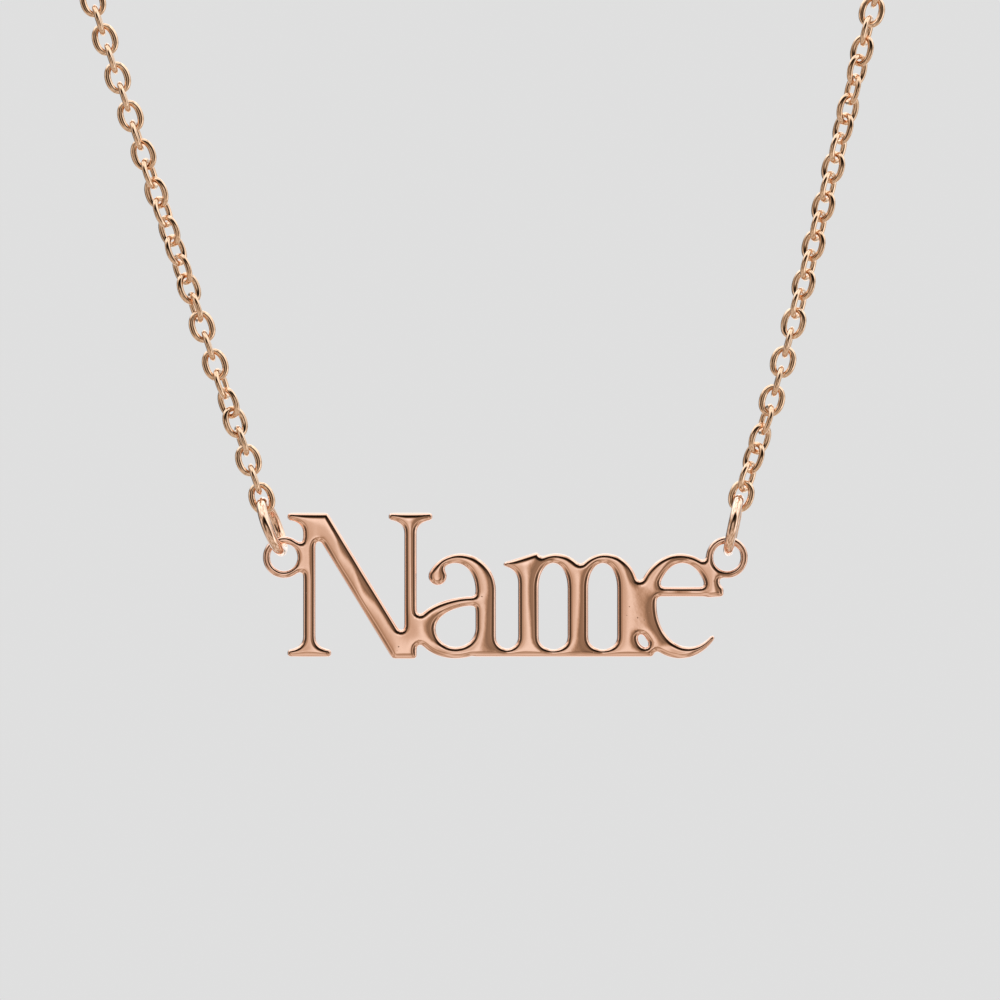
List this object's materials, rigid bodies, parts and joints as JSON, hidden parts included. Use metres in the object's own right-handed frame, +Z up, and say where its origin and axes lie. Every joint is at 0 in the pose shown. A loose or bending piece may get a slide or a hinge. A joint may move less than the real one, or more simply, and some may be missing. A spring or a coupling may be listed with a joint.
{
  "type": "nameplate necklace",
  "caption": "Openwork nameplate of fused letters, hung by jump rings at both ends from a closed oval cable chain with a ring clasp at the nape.",
  "frame": {"origin": "at the nape, on the face of the clasp's ring that lies against the neck", "axes": "+Z up, -Y towards the viewer of the plate's face, +X to the right of that viewer"},
  "size_m": [0.0925, 0.0741, 0.13],
  "materials": {
    "rose_gold_plate": "polished",
    "rose_gold_chain": "polished"
  },
  "bodies": {
    "chain_loop": {"left_chain": "rose_gold_chain", "right_chain": "rose_gold_chain", "left_jump_ring": "rose_gold_chain", "right_jump_ring": "rose_gold_chain", "clasp": "rose_gold_chain"},
    "plate": {"nameplate": "rose_gold_plate"}
  },
  "joints": [
    {"name": "plate_swing", "type": "hinge", "parent": "chain_loop", "child": "plate", "pos_m": [0, -0.07, -0.118], "axis": [1, 0, 0], "range_deg": [-60, 60]}
  ]
}
